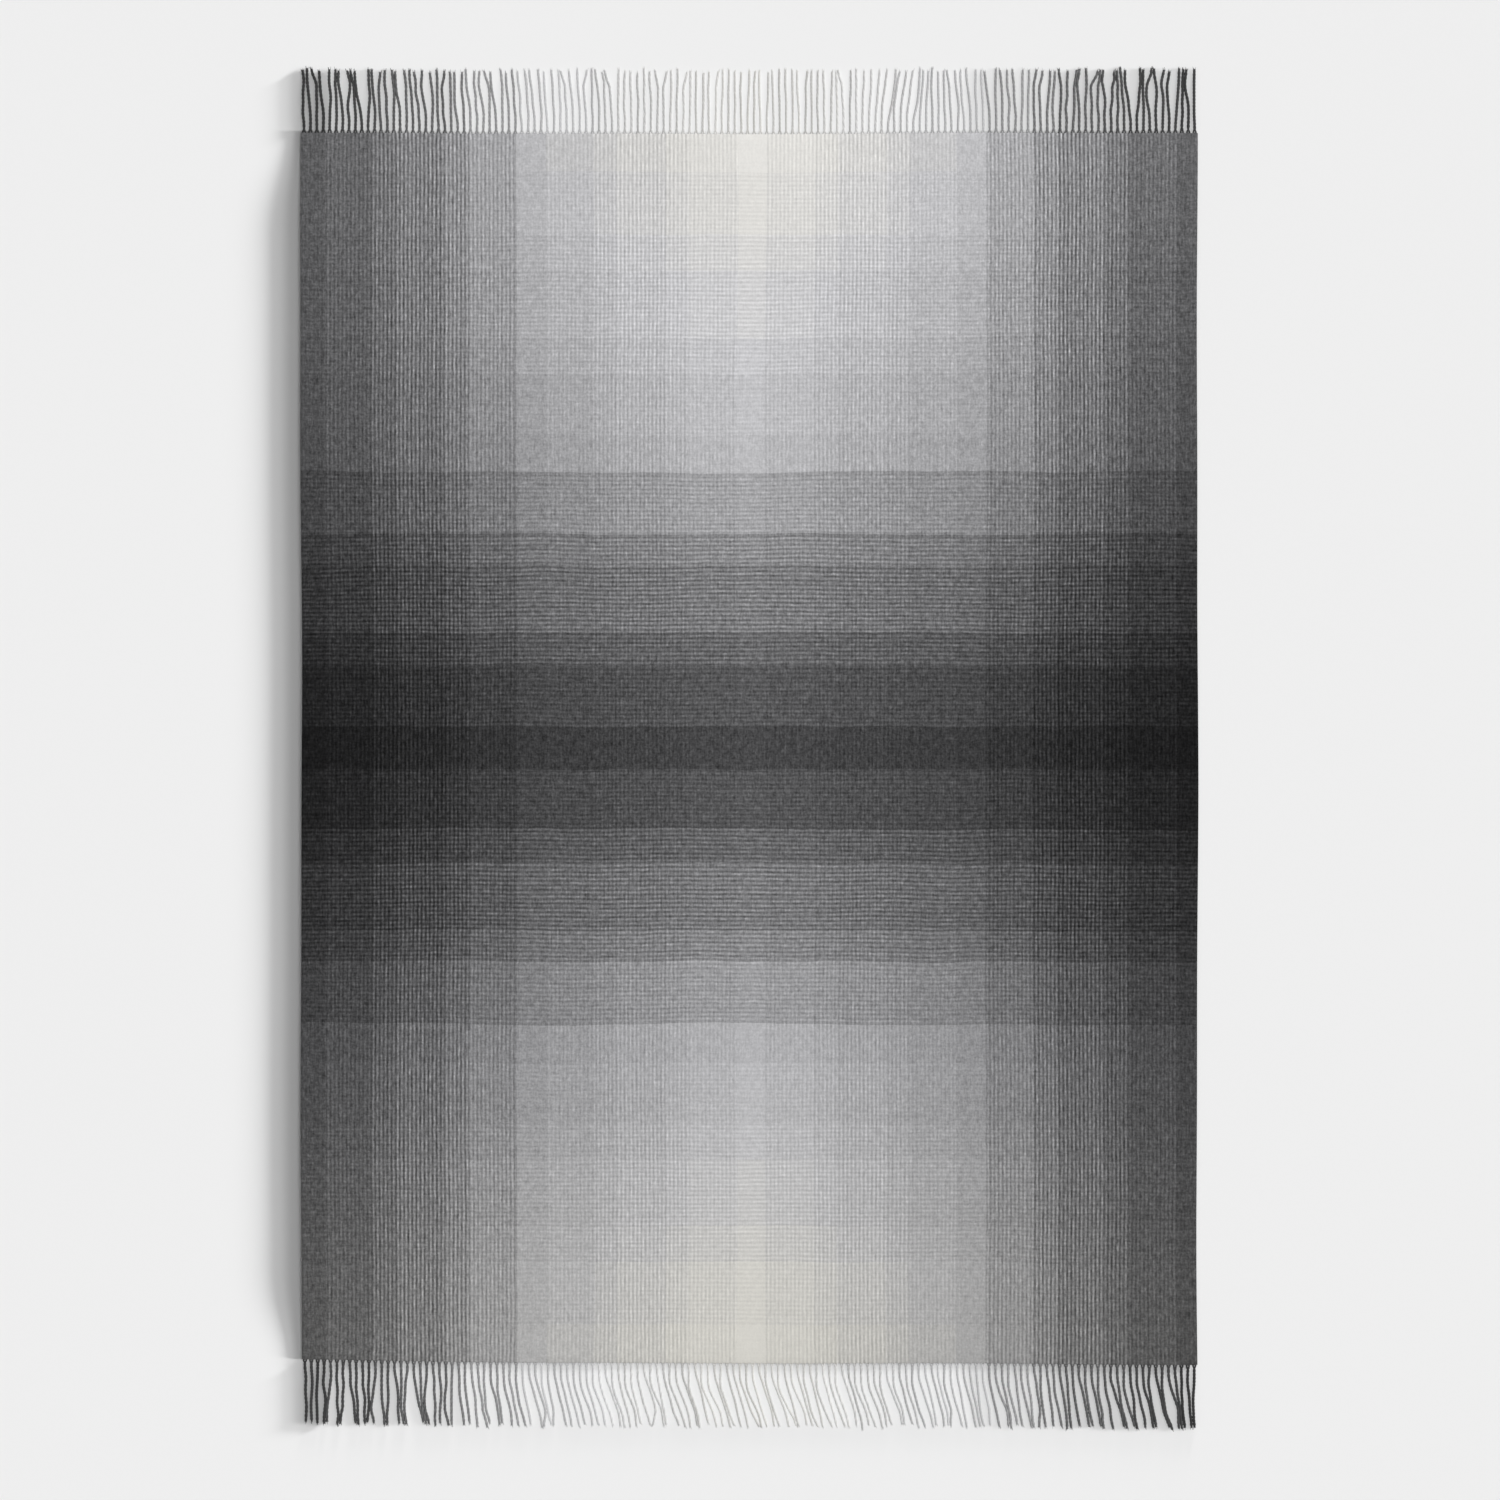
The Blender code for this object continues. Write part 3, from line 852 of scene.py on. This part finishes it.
class THROW_OT_twist_fringe(bpy.types.Operator):
    """Twist the tassels of one end out of its warp ends"""

    bl_idname = "throw.twist_fringe"
    bl_label = "Twist Fringe"
    bl_options = {"REGISTER", "UNDO"}

    end: bpy.props.EnumProperty(
        name="End", description="Which end of the throw", items=(
            ("FAR", "Far", "The end away from the viewer"), ("NEAR", "Near", "The end towards the viewer")))

    def execute(self, context):
        settings = context.scene.throw_fringe
        material = bpy.data.materials.get("twisted_yarn") or yarn_finish(settings)
        paths, width, draw = tassel_paths(self.end, settings)
        plies, ply_radii = twist_plies(paths, width, draw, settings)
        fibres, fibre_radii = fray_tips(paths, width, draw, settings)
        colours = yarn_colours(draw, settings)
        word = self.end.lower()
        for bunch in range(BUNCHES):
            name = f"{word}_tassels_{bunch + 1:02d}"
            rows = slice(bunch * TASSELS_PER_BUNCH, (bunch + 1) * TASSELS_PER_BUNCH)
            piece = self.join(f"twisted_{name}", plies[rows], ply_radii[rows], fibres[rows],
                              fibre_radii[rows], colours[rows])
            piece.data.materials.append(material)
            group("throw").objects.link(piece)
            group("fringe_only").objects.link(piece)
            for edge, (left, right) in EDGE_BUNCHES.items():
                if bunch < left or bunch >= BUNCHES - right:
                    group(edge).objects.link(piece)
            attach(piece, f"{word}_half")
            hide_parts(name)
        return {"FINISHED"}

    def join(self, name, plies, ply_radii, fibres, fibre_radii, colours):
        """One mesh of a bunch's yarns and fibres, with each strand's colour as a point attribute."""
        stations = plies.shape[2]
        points_a, faces_a, caps_a, uv_a, per_yarn = strand_arrays(
            plies.reshape(-1, stations, 3), ply_radii.reshape(-1, stations), 6)
        fibre_stations = fibres.shape[2]
        points_b, faces_b, caps_b, uv_b, per_fibre = strand_arrays(
            fibres.reshape(-1, fibre_stations, 3), fibre_radii.reshape(-1, fibre_stations), 3)
        points = np.concatenate([points_a, points_b])
        faces = np.concatenate([faces_a, faces_b + len(points_a)])
        caps = np.concatenate([caps_a, caps_b + len(points_a)])
        piece = mesh_object(name, points, faces, caps)
        sides_a, sides_b = len(faces_a) * 4, len(faces_b) * 4
        uv = np.concatenate([uv_a[:sides_a], uv_b[:sides_b], uv_a[sides_a:], uv_b[sides_b:]])
        give_uv(piece, "Strand", uv)
        yarn = np.repeat(colours.reshape(-1, 3), per_yarn, axis=0)
        loose = np.repeat(np.repeat(colours.mean(1), fibres.shape[1], axis=0), per_fibre, axis=0)
        rgba = np.ones((len(points), 4), np.float32)
        rgba[:, :3] = np.concatenate([yarn, loose])
        attribute = piece.data.attributes.new("yarn_colour", "FLOAT_COLOR", "POINT")
        attribute.data.foreach_set("color", rgba.ravel())
        return piece


class THROW_OT_weave_cloth(bpy.types.Operator):
    """Weave the cloth as one sheet, with closer rows at the mid fold"""

    bl_idname = "throw.weave_cloth"
    bl_label = "Weave Cloth"
    bl_options = {"REGISTER", "UNDO"}

    def execute(self, context):
        settings = context.scene.throw_cloth
        cloth = make_cloth(settings)
        if max(corner[2] for corner in cloth.bound_box) >= FOLD_HEIGHT:
            raise RuntimeError("the cloth reaches the fold's axis, so its folded halves would meet")
        cloth.data.materials.append(woven_finish(settings))
        for name in ("throw", "cloth_only", *EDGE_BUNCHES):
            group(name).objects.link(cloth)
        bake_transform(cloth)
        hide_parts("woven_panel_near", "woven_panel_far")
        return {"FINISHED"}


class THROW_OT_light_stage(bpy.types.Operator):
    """Lay the floor, set the soft studio light and stand the camera over the throw"""

    bl_idname = "throw.light_stage"
    bl_label = "Light Stage"
    bl_options = {"REGISTER", "UNDO"}

    def execute(self, context):
        settings = context.scene.throw_stage
        half = settings.floor_size / 2
        corners = np.array([[-half, -half, 0.0], [half, -half, 0.0], [half, half, 0.0], [-half, half, 0.0]])
        floor = mesh_object("floor", corners, np.array([[0, 1, 2, 3]]))
        floor.data.materials.append(floor_finish(settings))
        group("floor_only").objects.link(floor)
        self.set_light(context, settings)
        self.set_camera(context, settings)
        return {"FINISHED"}

    def set_light(self, context, settings):
        """Even room light, lamps on the throw, and low lamps on the floor that the throw's edges stop."""
        world = bpy.data.worlds.new("studio")
        context.scene.world = world
        world.use_nodes = True
        backdrop = world.node_tree.nodes["Background"]
        backdrop.inputs["Color"].default_value = (1.0, 1.0, 1.0, 1.0)
        backdrop.inputs["Strength"].default_value = settings.room
        for name, setting, part, elevation, azimuth, softness, lights, stopped_by in LAMPS:
            share = part * getattr(settings, setting)
            self.add_lamp(context, name, share, elevation, azimuth, softness, lights, stopped_by)
        context.scene.view_settings.view_transform = "Standard"

    def add_lamp(self, context, name, share, elevation, azimuth, softness, lights, stopped_by):
        """A distant soft lamp. Share is the light that it gives a level surface, 1 for a fully lit one."""
        lamp = bpy.data.lights.new(name, "SUN")
        rise = math.radians(elevation)
        lamp.energy = share * math.pi / math.sin(rise)
        lamp.angle = math.radians(softness)
        placed = bpy.data.objects.new(name, lamp)
        turn = math.radians(azimuth)
        towards = Vector((math.cos(turn) * math.cos(rise), math.sin(turn) * math.cos(rise), math.sin(rise)))
        placed.location = 3.0 * towards
        placed.rotation_euler = towards.to_track_quat("Z", "Y").to_euler()
        placed.light_linking.receiver_collection = group(lights)
        if stopped_by:
            placed.light_linking.blocker_collection = group(stopped_by)
        context.scene.collection.objects.link(placed)

    def set_camera(self, context, settings):
        """Straight down from above, with the far end at the top of the view."""
        data = bpy.data.cameras.new("camera")
        data.lens = 85.0
        data.sensor_width = 36.0
        data.clip_end = 100.0
        camera = bpy.data.objects.new("camera", data)
        camera.location = (0.6 * MM, -2.9 * MM, settings.camera_height)
        context.scene.collection.objects.link(camera)
        context.scene.camera = camera


class THROW_PT_panel(bpy.types.Panel):
    """The throw's steps and settings"""

    bl_idname = "THROW_PT_panel"
    bl_label = "Throw Blanket"
    bl_space_type = "VIEW_3D"
    bl_region_type = "UI"
    bl_category = "Throw"

    def draw(self, context):
        layout = self.layout
        scene = context.scene
        for title, settings in (("Cloth", scene.throw_cloth), ("Fringe", scene.throw_fringe),
                                ("Stage", scene.throw_stage)):
            box = layout.box()
            box.label(text=title)
            for name in settings.__annotations__:
                box.prop(settings, name)
        layout.operator("throw.light_stage")
        for end in SIDE:
            layout.operator("throw.twist_fringe", text=f"Twist {end.title()} Fringe").end = end
        layout.operator("throw.weave_cloth")


CLASSES = (ThrowClothSettings, ThrowFringeSettings, ThrowStageSettings, THROW_OT_twist_fringe,
           THROW_OT_weave_cloth, THROW_OT_light_stage, THROW_PT_panel)


def register():
    for cls in CLASSES:
        bpy.utils.register_class(cls)
    bpy.types.Scene.throw_cloth = bpy.props.PointerProperty(type=ThrowClothSettings)
    bpy.types.Scene.throw_fringe = bpy.props.PointerProperty(type=ThrowFringeSettings)
    bpy.types.Scene.throw_stage = bpy.props.PointerProperty(type=ThrowStageSettings)


def unregister():
    del bpy.types.Scene.throw_stage
    del bpy.types.Scene.throw_fringe
    del bpy.types.Scene.throw_cloth
    for cls in reversed(CLASSES):
        bpy.utils.unregister_class(cls)


def main():
    register()
    bpy.ops.throw.light_stage()
    bpy.ops.throw.twist_fringe(end="FAR")
    bpy.ops.throw.twist_fringe(end="NEAR")
    bpy.ops.throw.weave_cloth()


if __name__ == "__main__":
    main()
